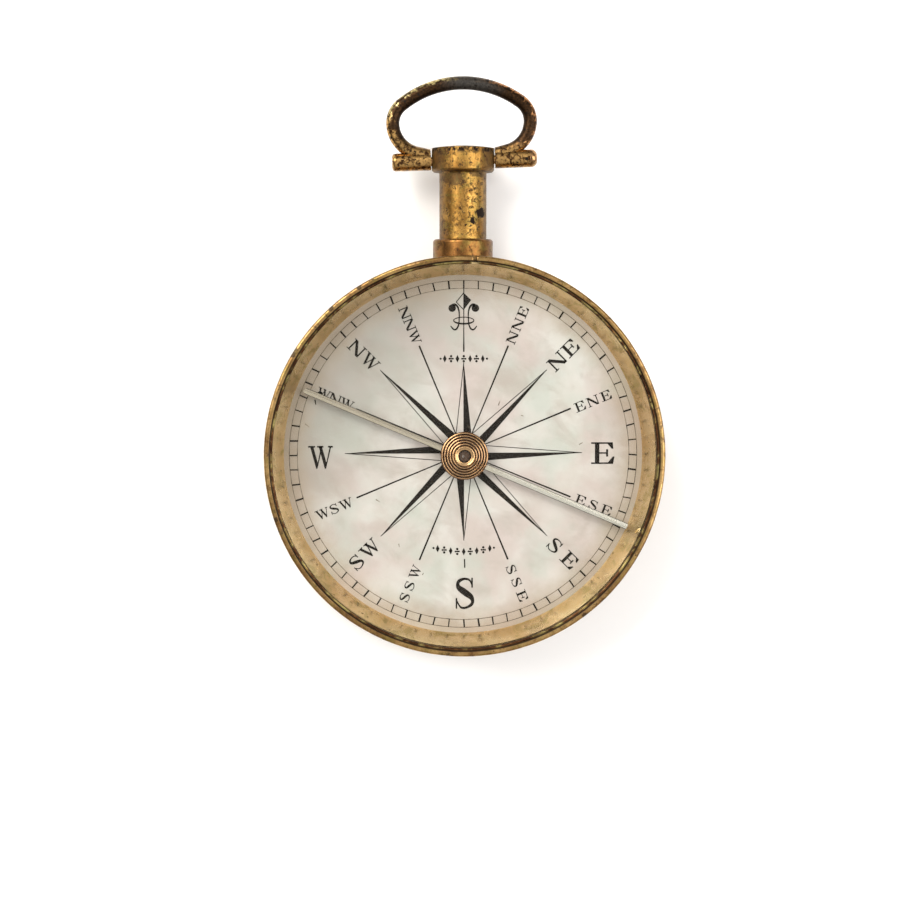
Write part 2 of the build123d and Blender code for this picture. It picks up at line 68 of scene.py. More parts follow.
class Shader:
    """Small builder for a procedural material whose patterns are laid out in millimetres."""

    def __init__(self, name):
        self.material = bpy.data.materials.new(name)
        self.material.use_nodes = True
        self.tree = self.material.node_tree
        self.tree.nodes.clear()
        self.output = self.add("ShaderNodeOutputMaterial")
        self.bsdf = self.add("ShaderNodeBsdfPrincipled")
        self.link(self.bsdf.outputs[0], self.output.inputs["Surface"])

    def add(self, kind, **settings):
        node = self.tree.nodes.new(kind)
        for key, value in settings.items():
            setattr(node, key, value)
        return node

    def link(self, source, target):
        self.tree.links.new(source, target)

    def coords(self, stretch=(1, 1, 1), turn=0.0):
        """Place on the object in millimetres, optionally stretched and turned about Z."""
        texture = self.add("ShaderNodeTexCoord")
        mapping = self.add("ShaderNodeMapping")
        mapping.inputs["Scale"].default_value = [1000 * s for s in stretch]
        if not turn:
            self.link(texture.outputs["Object"], mapping.inputs["Vector"])
            return mapping.outputs[0]
        spin = self.add("ShaderNodeMapping")
        spin.inputs["Rotation"].default_value = (0, 0, turn)
        self.link(texture.outputs["Object"], spin.inputs["Vector"])
        self.link(spin.outputs[0], mapping.inputs["Vector"])
        return mapping.outputs[0]

    def noise(self, scale, detail=4.0, rough=0.55, vector=None, distortion=0.0):
        node = self.add("ShaderNodeTexNoise")
        node.inputs["Scale"].default_value = scale
        node.inputs["Detail"].default_value = detail
        node.inputs["Roughness"].default_value = rough
        node.inputs["Distortion"].default_value = distortion
        self.link(vector or self.coords(), node.inputs["Vector"])
        return node.outputs["Fac"]

    def ramp(self, value, stops):
        node = self.add("ShaderNodeValToRGB")
        elements = node.color_ramp.elements
        while len(elements) < len(stops):
            elements.new(0.5)
        for element, (at, colour) in zip(elements, stops):
            element.position = at
            element.color = colour if len(colour) == 4 else (*colour, 1)
        self.link(value, node.inputs[0])
        return node.outputs[0]

    def mask(self, value, low, high):
        """0 below low, 1 above high."""
        return self.ramp(value, [(low, (0, 0, 0)), (high, (1, 1, 1))])

    def mix(self, factor, first, second, mode="MIX"):
        node = self.add("ShaderNodeMix", data_type="RGBA", blend_type=mode)
        for value, index in ((factor, 0), (first, 6), (second, 7)):
            socket = node.inputs[index]
            if isinstance(value, (tuple, float, int)):
                socket.default_value = value
            else:
                self.link(value, socket)
        return node.outputs[2]

    def math(self, operation, first, second=None, clamp=False):
        node = self.add("ShaderNodeMath", operation=operation, use_clamp=clamp)
        for value, socket in zip((first, second), node.inputs):
            if value is None:
                continue
            if isinstance(value, (float, int)):
                socket.default_value = value
            else:
                self.link(value, socket)
        return node.outputs[0]

    def times(self, first, second):
        return self.math("MULTIPLY", first, second)

    def plus(self, first, second):
        return self.math("ADD", first, second)

    def minus(self, first, second):
        return self.math("SUBTRACT", first, second)

    def larger(self, first, second):
        return self.math("MAXIMUM", first, second)

    def distance(self, x, y):
        return self.math("SQRT", self.plus(self.times(x, x), self.times(y, y)))

    def axes(self):
        """X, Y and Z on the object in millimetres, as three sockets."""
        split = self.add("ShaderNodeSeparateXYZ")
        self.link(self.coords(), split.inputs[0])
        return split.outputs

    def step(self, value, low, high):
        """Smooth change from 0 at low to 1 at high; low may be the larger."""
        node = self.add("ShaderNodeMapRange", interpolation_type="SMOOTHSTEP")
        node.inputs["From Min"].default_value = min(low, high)
        node.inputs["From Max"].default_value = max(low, high)
        self.link(value, node.inputs["Value"])
        if low < high:
            return node.outputs[0]
        return self.minus(1.0, node.outputs[0])

    def spot(self, centre, size):
        """Ragged spot on the XY plane: 1 inside, 0 outside. Millimetres."""
        x, y, _ = self.axes()
        dx = self.math("DIVIDE", self.minus(x, centre[0]), size[0])
        dy = self.math("DIVIDE", self.minus(y, centre[1]), size[1])
        ragged = self.times(self.minus(self.noise(3.0, 5, 0.7), 0.5), 1.92)
        return self.step(self.plus(self.distance(dx, dy), ragged), 1.12, 0.85)

    def span(self, value, low, high):
        """Stretches 0..1 to low..high."""
        node = self.add("ShaderNodeMapRange")
        node.inputs["To Min"].default_value = low
        node.inputs["To Max"].default_value = high
        self.link(value, node.inputs["Value"])
        return node.outputs[0]

    def bump(self, height, depth_mm, strength):
        """Relief on the main shader, from a height of 0 to 1."""
        node = self.add("ShaderNodeBump")
        node.inputs["Strength"].default_value = strength
        node.inputs["Distance"].default_value = depth_mm * MM
        self.link(height, node.inputs["Height"])
        self.link(node.outputs[0], self.bsdf.inputs["Normal"])

    def set(self, **values):
        """Sets or links the main shader's sockets; underscores stand for spaces."""
        for key, value in values.items():
            socket = self.bsdf.inputs[key.replace("_", " ")]
            if isinstance(value, (tuple, float, int)):
                socket.default_value = value
            else:
                self.link(value, socket)


# ---------------------------------------------------------------- materials

def worn_gilding(name, tones, grime, spots, relief, roughness=(0.24, 0.5), dirt=None):
    """Fire-gilt brass with brown tarnish and black spots; dirt is a function that masks more, and for
    the pendant it also paints shade.
    """
    bright, middle, brown = [linear(*tone) for tone in tones]
    s = Shader(name)
    broad = s.noise(0.35, 5, 0.6)
    mottle = s.noise(1.3, 8, 0.72, distortion=0.6)
    fine = s.noise(5.0, 6, 0.75)
    gold = s.mix(s.mask(broad, 0.40, 0.60), middle, bright)
    olive = s.mask(s.noise(0.8, 6, 0.65, distortion=1.0), 0.50, 0.62)
    gold = s.mix(s.times(olive, 0.5), gold, linear(128, 116, 58))
    tarnish = s.mask(mottle, 0.60 - 0.16 * grime, 0.70 - 0.12 * grime)
    tarnish = s.math("MULTIPLY", tarnish, 0.45 + 0.5 * grime, clamp=True)
    gold = s.mix(tarnish, gold, brown)
    gold = s.mix(s.times(s.mask(fine, 0.45, 0.70), 0.45), gold, brown)
    pits = s.mask(s.noise(2.6, 5, 0.62), 0.70 - spots, 0.735 - spots)
    # on the pendant this extra mask also holds painted shade on the stem's sides
    if dirt:
        pits = s.larger(pits, dirt(s))
    gold = s.mix(pits, gold, linear(30, 19, 10))
    dull = s.larger(s.times(tarnish, 0.8), pits)
    s.set(Base_Color=gold)
    s.set(Metallic=s.span(pits, 1.0, 0.2), Specular_IOR_Level=s.span(pits, 0.5, 0.08))
    s.set(Roughness=s.span(dull, *roughness))
    height = s.minus(s.times(fine, 0.35), s.times(pits, 0.8))
    s.bump(s.plus(height, s.times(mottle, 0.5)), relief, 0.55)
    return s.material


def pendant_dirt_and_shade(s):
    """Black patches low on the stem, dark patches under the head, grime on its dome, and painted shade
    on its sides.
    """
    x, y, _ = s.axes()
    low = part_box("pendant_collar")[1].y / MM
    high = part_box("pendant_stem")[1].y / MM
    patch = s.spot((1.7, low + 2.6), (0.5, 0.5))
    patch = s.larger(patch, s.spot((0.85, low + 1.8), (0.24, 0.3)))
    shoulder = s.spot((-1.2, high - 3.3), (1.2, 0.75))
    shoulder = s.times(s.larger(shoulder, s.spot((1.5, high - 2.9), (1.0, 0.3))), 0.62)
    dome = s.mask(s.noise(1.7, 7, 0.72), 0.47, 0.52)
    dome = s.times(s.step(y, high - 1.0, high - 0.6), dome)
    streak = s.mask(s.noise(1.0, 5, 0.7, vector=s.coords((7, 0.5, 7))), 0.55, 0.66)
    streak = s.times(s.times(streak, s.step(y, high - 5.2, high - 3.8)), 0.45)
    flecks = s.times(s.mask(s.noise(2.4, 7, 0.74), 0.545, 0.585), 0.8)
    # painted shade: the stem darkened towards its left and right sides
    sides = s.times(s.step(s.math("ABSOLUTE", x), 1.5, 2.4), 0.5)
    dirt = s.larger(s.larger(patch, shoulder), s.larger(dome, streak))
    return s.larger(s.larger(dirt, sides), flecks)


def rim_dirt(s):
    """Brown grime along the inner edge of the rim and in ragged spots round it."""
    x, y, z = s.axes()
    reach = s.distance(x, y)
    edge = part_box("glass_snap_ring")[1].x / MM
    front = s.step(z, RIM_TOP / MM - 0.7, RIM_TOP / MM - 0.3)
    inner = s.times(s.step(reach, edge + 0.19, edge + 0.11), 0.92)
    ragged = s.times(s.mask(s.noise(0.9, 7, 0.72), 0.56, 0.62), 0.7)
    dirt = s.larger(inner, ragged)
    for bearing in RIM_NICKS:
        angle = math.radians(bearing)
        middle = ((edge + 0.5) * math.sin(angle), (edge + 0.5) * math.cos(angle))
        nick = s.spot(middle, (0.30, 0.30))
        dirt = s.larger(dirt, s.times(s.times(nick, front), 0.8))
    return dirt


def bow_brass():
    """Bow: gilding left on its outer side and knuckles, black-brown inside, grey over the top, with a
    painted highlight on the upper left.
    """
    s = Shader("worn_bow_gilding")
    x, y, _ = s.axes()
    low, high = [corner.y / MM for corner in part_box("bow")]
    knuckle_top = low + 1.9
    middle_y = high - 4.55
    across = s.math("DIVIDE", x, BOW_HALF_WIDTH)
    along = s.math("DIVIDE", s.minus(y, middle_y), BOW_HALF_HEIGHT)
    reach = s.distance(across, along)
    ragged = s.times(s.minus(s.noise(1.1, 7, 0.7, distortion=0.8), 0.5), 0.34)
    outer = s.step(s.plus(reach, ragged), 1.02, 1.08)
    foot = s.step(y, knuckle_top + 1.6, knuckle_top - 0.4)
    gilt = s.larger(outer, foot)
    flakes = s.mask(s.noise(1.6, 8, 0.72, distortion=0.5), 0.40, 0.52)
    gilt = s.times(gilt, s.larger(flakes, s.times(foot, 0.75)))
    fine = s.noise(5.0, 6, 0.75)
    # painted highlight: a pale gold streak on the upper left of the bow
    pale = s.times(s.step(s.plus(x, s.times(fine, 2.0)), 2.0, -1.0),
                  s.step(y, middle_y - 0.5, middle_y + 1.5))
    copper = s.step(s.plus(x, s.times(fine, 2.0)), 1.0, 4.0)
    copper = s.times(copper, s.step(y, knuckle_top, knuckle_top + 2.0))
    gold = s.mix(copper, linear(186, 146, 88), linear(188, 132, 84))
    gold = s.mix(pale, gold, linear(200, 182, 126))
    gold = s.mix(s.mask(s.noise(2.2, 7, 0.72), 0.49, 0.56), gold, linear(66, 42, 24))
    dark = s.mix(s.mask(fine, 0.40, 0.72), linear(30, 23, 16), linear(76, 52, 32))
    from_middle = s.math("ABSOLUTE", s.minus(x, 0.9))
    crown = s.minus(1.0, s.step(from_middle, 0.6, 4.6))
    crown = s.times(crown, s.step(y, high - 2.6, high - 1.6))
    crown = s.mask(s.plus(crown, ragged), 0.15, 0.95)
    base = s.mix(gilt, dark, gold)
    grey = s.mix(s.mask(fine, 0.35, 0.7), linear(36, 34, 32), linear(74, 71, 66))
    specks = s.mask(s.noise(2.8, 5, 0.62), 0.585, 0.62)
    base = s.mix(s.times(crown, 0.92), base, grey)
    base = s.mix(specks, base, linear(24, 17, 11))
    s.set(Base_Color=base, Specular_IOR_Level=0.2)
    s.set(Metallic=s.span(s.larger(crown, specks), 1.0, 0.55))
    s.set(Roughness=s.span(s.minus(1.0, gilt), 0.26, 0.42))
    s.bump(s.plus(s.times(fine, 0.5), s.noise(1.4, 6, 0.65)), 0.02, 0.5)
    return s.material


def polished_brass(name, colour, shade, roughness=(0.12, 0.26)):
    """Smooth brass gone a little mellow, with olive patches and brown freckles."""
    s = Shader(name)
    mellow = s.noise(0.3, 5, 0.6)
    freckle = s.mask(s.noise(2.2, 4, 0.6), 0.66, 0.70)
    base = s.mix(s.mask(mellow, 0.35, 0.65), linear(*colour), linear(*shade))
    olive = s.mask(s.noise(0.55, 5, 0.6, distortion=0.8), 0.50, 0.64)
    base = s.mix(s.times(olive, 0.55), base, linear(178, 166, 104))
    stain = s.mask(s.noise(1.1, 7, 0.74, distortion=0.6), 0.55, 0.66)
    base = s.mix(s.times(stain, 0.4), base, linear(150, 112, 66))
    base = s.mix(s.times(freckle, 0.75), base, linear(84, 58, 32))
    s.set(Base_Color=base, Metallic=1.0)
    s.set(Roughness=s.span(s.larger(s.mask(mellow, 0.3, 0.8), freckle), *roughness))
    s.bump(s.noise(9.0, 4, 0.6), 0.004, 0.5)
    return s.material


def turned_brass():
    """Needle cap: rosy brass in turned rings, brown between them, with a painted highlight on their
    crests and a painted highlight ring round the centre.
    """
    s = Shader("turned_cap_brass")
    x, y, _ = s.axes()
    reach = s.distance(x, y)
    low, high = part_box("needle_cap")
    radius = (high.x - low.x) / 2 / MM
    phase = s.times(s.minus(reach, radius), 2 * math.pi / CAP_RING_WIDTH)
    wave = s.math("COSINE", phase)
    fine = s.math("SINE", s.times(reach, 70.0))
    mottle = s.noise(0.9, 6, 0.65)
    base = s.mix(s.mask(mottle, 0.38, 0.64), linear(140, 98, 74), linear(172, 130, 92))
    groove = s.times(s.step(wave, 0.15, 0.95), 0.8)
    base = s.mix(groove, base, linear(84, 54, 40))
    # painted highlight: paler colour on the crests of the turned rings
    base = s.mix(s.times(s.step(wave, -0.2, -0.9), 0.5), base, linear(212, 178, 136))
    base = s.mix(s.times(s.mask(fine, 0.3, 1.0), 0.2), base, linear(104, 68, 46))
    # painted highlight: a bright ring on the raised part round the centre
    painted_boss_highlight = s.times(s.step(reach, 0.60, 0.72), s.step(reach, 1.12, 0.98))
    base = s.mix(s.times(painted_boss_highlight, 0.6), base, linear(226, 186, 140))
    hole = s.step(reach, 0.68, 0.54)
    base = s.mix(hole, base, linear(34, 25, 18))
    s.set(Base_Color=base, Metallic=1.0)
    s.set(Roughness=s.span(s.larger(mottle, groove), 0.12, 0.36))
    height = s.plus(s.times(wave, -0.5), s.times(fine, 0.05))
    s.bump(s.plus(height, s.times(s.noise(6, 4, 0.6), 0.15)), 0.06, 0.7)
    return s.material


def steel(name):
    """Bright steel with grinding lines and a little tarnish."""
    s = Shader(name)
    lines = s.noise(1.0, 5, 0.7, vector=s.coords((0.6, 26, 8)))
    tarnish = s.mask(s.noise(0.7, 6, 0.65), 0.4, 0.7)
    base = s.mix(tarnish, linear(206, 205, 200), linear(168, 164, 156))
    s.set(Base_Color=base, Metallic=1.0, Roughness=s.span(lines, 0.14, 0.36))
    s.bump(lines, 0.004, 0.4)
    return s.material


def needle_steel(turn, aside, half_width):
    """Needle: ground lengthways, with painted shade on one facet and along its edges, and a painted
    highlight at its square end.
    """
    s = Shader("needle_steel_ground")
    split = s.add("ShaderNodeSeparateXYZ")
    s.link(s.coords((1, 1, 1), turn), split.inputs[0])
    along = split.outputs["X"]
    across = s.plus(split.outputs["Y"], aside)
    lines = s.noise(1.0, 5, 0.7, vector=s.coords((0.6, 26, 8), turn))
    # painted highlight: the blade brightens towards its east end
    bright = s.step(along, -2.0, 8.0)
    plain = s.mix(bright, linear(230, 220, 204), linear(250, 248, 243))
    # painted shade: darker colour for one facet of the ridge
    painted_shade_facet = s.mix(bright, linear(190, 180, 166), linear(232, 228, 220))
    base = s.mix(s.step(across, -0.03, 0.03), plain, painted_shade_facet)
    # painted shade: dark bands along both edges of the blade
    edge = s.step(s.math("ABSOLUTE", across), half_width * 0.74, half_width * 0.90)
    base = s.mix(s.times(edge, 0.9), base, linear(46, 40, 33))
    rust = s.mask(s.noise(2.2, 6, 0.7), 0.68, 0.74)
    base = s.mix(s.times(rust, 0.7), base, linear(96, 66, 44))
    s.set(Base_Color=base)
    s.set(Metallic=s.span(s.larger(rust, edge), 1.0, 0.4))
    s.set(Roughness=s.span(lines, 0.16, 0.36))
    s.bump(lines, 0.004, 0.4)
    return s.material


def dial_enamel():
    """White dial, clouded in rose, grey and green, with painted shade towards the north-west and
    towards its edge.
    """
    s = Shader("dial_white")
    x, y, _ = s.axes()
    reach = s.distance(x, y)
    warm = s.noise(0.13, 4, 0.55, distortion=0.4)
    cool = s.noise(0.17, 4, 0.55, vector=s.coords((1, 1, 1), 1.1))
    base = s.mix(s.mask(warm, 0.40, 0.60), linear(206, 203, 202), linear(196, 184, 183))
    base = s.mix(s.times(s.mask(cool, 0.48, 0.64), 0.7), base, linear(186, 191, 187))
    cloud = s.noise(0.24, 6, 0.6, vector=s.coords((1, 1.5, 1), 0.5), distortion=0.5)
    shade = s.mask(cloud, 0.46, 0.66)
    base = s.mix(s.times(shade, 0.6), base, linear(174, 164, 160))
    # painted shade: the north-west of the dial darkened
    grey = s.step(s.minus(s.times(x, 1.3), y), -4.0, -24.0)
    base = s.mix(s.times(grey, 0.65), base, linear(140, 135, 130))
    # painted shade: the dial darkened and tanned towards the rehaut
    rim = s.step(s.plus(reach, s.times(s.noise(0.5, 5, 0.65), 2.4)), 15.8, 18.8)
    base = s.mix(s.times(rim, 0.65), base, linear(168, 150, 132))
    dust = s.mask(s.noise(1.7, 7, 0.75), 0.66, 0.78)
    base = s.mix(s.times(dust, 0.4), base, linear(160, 146, 132))
    s.set(Base_Color=base, Roughness=s.span(s.noise(0.8, 4, 0.6), 0.30, 0.46))
    s.set(Coat_Weight=0.15, Coat_Roughness=0.2)
    s.bump(s.noise(1.1, 4, 0.55), 0.01, 0.25)
    return s.material


def printing_ink():
    """Dark brown-grey ink, thin in places."""
    s = Shader("dial_ink_worn")
    wear = s.noise(3.0, 6, 0.7)
    thin = s.mask(wear, 0.56, 0.72)
    base = s.mix(thin, linear(24, 19, 15), linear(74, 64, 54))
    s.set(Base_Color=base, Roughness=s.span(wear, 0.45, 0.65), Specular_IOR_Level=0.15)
    s.bump(wear, 0.003, 0.4)
    return s.material


def faint_ink():
    """Fine engraved lines that print paler than the solid ink."""
    s = Shader("dial_ink_fine")
    wear = s.noise(1.6, 6, 0.7)
    base = s.mix(s.mask(wear, 0.38, 0.68), linear(90, 80, 70), linear(146, 134, 120))
    s.set(Base_Color=base, Roughness=s.span(wear, 0.45, 0.65), Specular_IOR_Level=0.15)
    s.bump(wear, 0.003, 0.4)
    return s.material


def agate():
    """Dark banded stone of the needle's cup."""
    s = Shader("agate_cup")
    bands = s.noise(2.4, 5, 0.6, vector=s.coords((1, 1, 5)), distortion=1.2)
    s.set(Base_Color=s.mix(bands, linear(38, 27, 22), linear(92, 66, 48)))
    s.set(Roughness=s.span(bands, 0.12, 0.28))
    s.bump(bands, 0.004, 0.3)
    return s.material


def watch_glass():
    """Clear glass seen as a thin pane: it mirrors a little and lets the lamps through."""
    s = Shader("watch_glass_clear")
    s.tree.nodes.remove(s.bsdf)
    smear = s.noise(0.35, 5, 0.65)
    clear = s.add("ShaderNodeBsdfTransparent")
    tint = s.ramp(smear, [(0.35, linear(252, 252, 250)), (0.75, linear(247, 247, 243))])
    s.link(tint, clear.inputs[0])
    mirror = s.add("ShaderNodeBsdfGlossy")
    s.link(s.span(smear, 0.02, 0.10), mirror.inputs["Roughness"])
    edge = s.add("ShaderNodeFresnel")
    edge.inputs["IOR"].default_value = 1.45
    blend = s.add("ShaderNodeMixShader")
    s.link(s.times(edge.outputs[0], 0.2), blend.inputs[0])
    s.link(clear.outputs[0], blend.inputs[1])
    s.link(mirror.outputs[0], blend.inputs[2])
    s.link(blend.outputs[0], s.output.inputs["Surface"])
    return s.material


def backdrop():
    """Matt white board with a barely visible tooth."""
    s = Shader("studio_board")
    tooth = s.noise(0.6, 5, 0.6)
    s.set(Base_Color=s.mix(tooth, linear(250, 249, 247), linear(253, 252, 250)))
    s.set(Roughness=s.span(tooth, 0.75, 0.9))
    s.bump(tooth, 0.02, 0.1)
    return s.material


GILT_CASE = worn_gilding(
    "worn_gilding_case", ((180, 146, 94), (136, 103, 62), (78, 51, 30)),
    grime=0.55, spots=0.05, relief=0.006, roughness=(0.28, 0.48), dirt=rim_dirt)
GILT_COLLAR = worn_gilding(
    "worn_gilding_collar", ((142, 98, 52), (110, 76, 40), (64, 42, 24)),
    grime=0.65, spots=0.06, relief=0.016, roughness=(0.34, 0.55))
GILT_STEM = worn_gilding(
    "worn_gilding_pendant", ((176, 134, 68), (136, 97, 45), (72, 48, 24)),
    grime=0.65, spots=0.07, relief=0.022, roughness=(0.32, 0.55), dirt=pendant_dirt_and_shade)
GILT_SCREW = worn_gilding(
    "worn_gilding_screw", ((206, 164, 116), (150, 104, 62), (64, 42, 26)),
    grime=0.7, spots=0.09, relief=0.02)
BOW = bow_brass()
REHAUT = polished_brass("rehaut_polish", (250, 226, 182), (236, 206, 152), (0.22, 0.36))
SNAP = polished_brass("snap_ring_polish", (88, 58, 36), (44, 28, 18), (0.28, 0.45))
PLAIN = polished_brass("inner_brass", (196, 156, 92), (170, 126, 66), (0.22, 0.4))
CAP = turned_brass()
NEEDLE = needle_steel(math.radians(NEEDLE_TURN), NEEDLE_ASIDE, NEEDLE_HALF_WIDTH)
STEEL = steel("bright_steel_ground")
ENAMEL = dial_enamel()
INK_SOLID = printing_ink()
INK_FINE = faint_ink()
AGATE = agate()
GLASS = watch_glass()

finish_of = {
    "case_band": GILT_CASE, "case_back": GILT_CASE, "pendant_collar": GILT_COLLAR,
    "pendant_stem": GILT_STEM, "bow": BOW, "bow_screw": GILT_SCREW, "rehaut_ring": REHAUT,
    "glass_snap_ring": SNAP, "glass": GLASS, "dial_plate": ENAMEL, "needle_blade": NEEDLE,
    "needle_cap": CAP,
    "needle_jewel": AGATE, "needle_collet": PLAIN, "pivot_base": PLAIN, "pivot_post": STEEL,
    "lever_bracket": PLAIN, "lever_screws": STEEL, "lever_pin": STEEL, "lift_lever": PLAIN,
    "lift_collar": PLAIN, "plunger_wedge": PLAIN, "wedge_pin": STEEL,
}
for node_name, finish in finish_of.items():
    nodes[node_name].data.materials.clear()
    nodes[node_name].data.materials.append(finish)


# ---------------------------------------------------------------- worn rim

BEAD_OUTER_ROUND = 0.26
BEAD_INNER_ROUND = 0.16
BEAD_DEPTH = 0.9
BEAD_PROUD = 0.01         # how far the bead stands outside the metal that it covers
BEAD_DENT = 0.022
ROUND_STEPS = 8


def bead_section(inner, outer, top):
    """Section of the rim's rounded front edge, as radius and height in millimetres."""
    section = []
    rounds = (
        (outer - BEAD_OUTER_ROUND, BEAD_OUTER_ROUND, 0),
        (inner + BEAD_INNER_ROUND, BEAD_INNER_ROUND, 90),
    )
    for middle, radius, first in rounds:
        for k in range(ROUND_STEPS + 1):
            angle = math.radians(first + 90 * k / ROUND_STEPS)
            height = top - radius + radius * math.sin(angle)
            section.append((middle + radius * math.cos(angle), height))
    low = top - BEAD_DEPTH
    return section + [(inner, top - 0.5), (inner + 0.1, low), (outer - 0.08, low), (outer, low + 0.15)]


def wear(turn):
    """Unevenness of the rim round its circle, 0 to 1."""
    waves = ((7, 0.3, 1.0), (17, 1.9, 0.7), (31, 0.8, 0.6), (58, 2.6, 0.5))
    total = sum(size * math.sin(count * turn + phase) for count, phase, size in waves)
    return 0.5 + total / 5.6


def rim_bead(steps=640):
    """Rounded, slightly dented front edge of the case, with a slot beside the pendant."""
    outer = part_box("case_band")[1].x / MM + BEAD_PROUD
    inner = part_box("glass_snap_ring")[1].x / MM + 0.03
    section = bead_section(inner, outer, RIM_TOP / MM + BEAD_PROUD)
    slot_turn = math.radians(90) - math.asin(NOTCH_X / outer)
    half = math.asin(NOTCH_WIDTH / 2 / outer)
    mesh = bmesh.new()
    loops = []
    for i in range(steps + 1):
        turn = slot_turn + half + (2 * math.pi - 2 * half) * i / steps
        dent = BEAD_DENT * wear(turn)
        loop = []
        for r, z in section:
            share = (r - inner) / (outer - inner)
            r += dent * share
            z -= 0.5 * dent * (z > RIM_TOP / MM - 0.3)
            loop.append(mesh.verts.new((r * math.cos(turn) * MM, r * math.sin(turn) * MM, z * MM)))
        loops.append(loop)
    count = len(section)
    for near, far in zip(loops, loops[1:]):
        for k in range(count):
            j = (k + 1) % count
            mesh.faces.new((near[k], near[j], far[j], far[k]))
    mesh.faces.new(loops[0][::-1])
    mesh.faces.new(loops[-1])
    bmesh.ops.recalc_face_normals(mesh, faces=mesh.faces)
    for face in mesh.faces:
        face.smooth = len(face.verts) == 4
    data = bpy.data.meshes.new("rim_bead")
    mesh.to_mesh(data)
    mesh.free()
    data.materials.append(GILT_CASE)
    obj = bpy.data.objects.new("rim_bead", data)
    bpy.context.scene.collection.objects.link(obj)
    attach(obj, "case")


rim_bead()


# ---------------------------------------------------------------- printed dial

def polar(bearing, radius):
    """Point at a compass bearing in degrees, in millimetres."""
    angle = math.radians(bearing)
    return Vector((radius * math.sin(angle), radius * math.cos(angle)))


def turned_shape(points, bearing, origin=(0, 0)):
    """Points turned clockwise by a bearing and moved."""
    spin = Matrix.Rotation(-math.radians(bearing), 2)
    return [spin @ Vector(p) + Vector(origin) for p in points]


def print_on_dial(name, shapes, material, lift=1.0):
    """Closed flat solids of ink on the dial, one for each outline in millimetres."""
    mesh = bmesh.new()
    low = DIAL_TOP
    high = DIAL_TOP + INK * lift
    for outline in shapes:
        area = sum(a[0] * b[1] - b[0] * a[1] for a, b in zip(outline, outline[1:] + outline[:1]))
        ring = outline if area > 0 else outline[::-1]
        top = [mesh.verts.new((x * MM, y * MM, high)) for x, y in ring]
        under = [mesh.verts.new((x * MM, y * MM, low)) for x, y in ring]
        mesh.faces.new(top)
        mesh.faces.new(under[::-1])
        for i in range(len(ring)):
            j = (i + 1) % len(ring)
            mesh.faces.new((top[j], top[i], under[i], under[j]))
    bmesh.ops.triangulate(mesh, faces=[f for f in mesh.faces if len(f.verts) > 4])
    data = bpy.data.meshes.new(name)
    mesh.to_mesh(data)
    mesh.free()
    data.materials.append(material)
    obj = bpy.data.objects.new(name, data)
    bpy.context.scene.collection.objects.link(obj)
    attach(obj, "case")


def bar(start, end, width, end_width=None):
    """Straight line of ink."""
    start, end = Vector(start), Vector(end)
    along = (end - start).normalized()
    side = Vector((-along.y, along.x))
    near = side * width / 2
    far = near if end_width is None else side * end_width / 2
    return [start - near, end - far, end + far, start + near]


def circle_line(radius, width, parts=120):
    """Thin circle as a row of short bars that share their ends."""
    inner, outer = radius - width / 2, radius + width / 2
    shapes = []
    for i in range(parts):
        a, b = 360 * i / parts, 360 * (i + 1) / parts
        shapes.append([polar(a, inner), polar(a, outer), polar(b, outer), polar(b, inner)])
    return shapes


def smooth_path(points, steps=8):
    """Curve through the given points."""
    curve = []
    ends = [points[0]] + list(points) + [points[-1]]
    for i in range(1, len(ends) - 2):
        p0, p1, p2, p3 = [Vector(p) for p in ends[i - 1:i + 3]]
        for k in range(steps):
            t = k / steps
            curve.append(0.5 * (
                2 * p1 + (p2 - p0) * t + (2 * p0 - 5 * p1 + 4 * p2 - p3) * t * t
                + (3 * p1 - p0 - 3 * p2 + p3) * t ** 3))
    curve.append(Vector(points[-1]))
    return curve


def pen(points, widths, steps=8):
    """Curved stroke of changing width, as four-sided cells. Widths go with the given points."""
    path = smooth_path(points, steps)
    spread = smooth_path([(w, 0) for w in widths], steps)
    left, right = [], []
    for i, p in enumerate(path):
        ahead = path[min(i + 1, len(path) - 1)] - path[max(i - 1, 0)]
        side = Vector((-ahead.y, ahead.x)).normalized() * spread[i].x / 2
        left.append(p + side)
        right.append(p - side)
    return [[right[i], right[i + 1], left[i + 1], left[i]] for i in range(len(path) - 1)]


def disc(centre, radius, parts=20):
    """Filled round spot."""
    return [Vector(centre) + polar(-360 * i / parts, radius) for i in range(parts)]


# Roman capitals, one unit high and wide: thick and thin strokes with serifs

HAIR = 0.085
THICK = 0.19
SERIF = 0.07


def upright(x, width, low=0.0, high=1.0):
    return [(x, low), (x + width, low), (x + width, high), (x, high)]


def level(left, right, y):
    return [(left, y), (right, y), (right, y + SERIF), (left, y + SERIF)]


def glyph_n():
    right = 0.81 + HAIR
    return [
        upright(0.11, HAIR), upright(0.81, HAIR), level(0.0, 0.30, 0), level(0.70, 1.0, 1 - SERIF),
        level(0.0, 0.20, 1 - SERIF), [(0.04, 1), (0.70, 0), (right, 0), (right, 0.04), (0.26, 1)],
    ]


def glyph_e():
    high = 1 - SERIF
    return [
        upright(0.16, THICK), level(0.0, 0.92, high), level(0.0, 0.94, 0), level(0.3, 0.66, 0.47),
        upright(0.64, HAIR, 0.34, 0.68),
        [(0.92, 1), (0.95, 0.70), (0.88, 0.70), (0.70, high), (0.70, 1)],
        [(0.94, 0), (1.0, 0.34), (0.93, 0.34), (0.72, SERIF), (0.72, 0)],
    ]


def glyph_w():
    high = 1 - SERIF
    strokes = [level(0.0, 0.28, high), level(0.36, 0.62, high), level(0.80, 1.0, high)]
    for left in (0.07, 0.42):
        down = ((0, 1), (0.25, 0), (0.29, 0), (0.34, 0.17), (0.13, 1))
        up = ((0.26, 0), (0.30, 0), (0.52, 1), (0.46, 1))
        for stroke in (down, up):
            strokes.append([(left + x, y) for x, y in stroke])
    return strokes


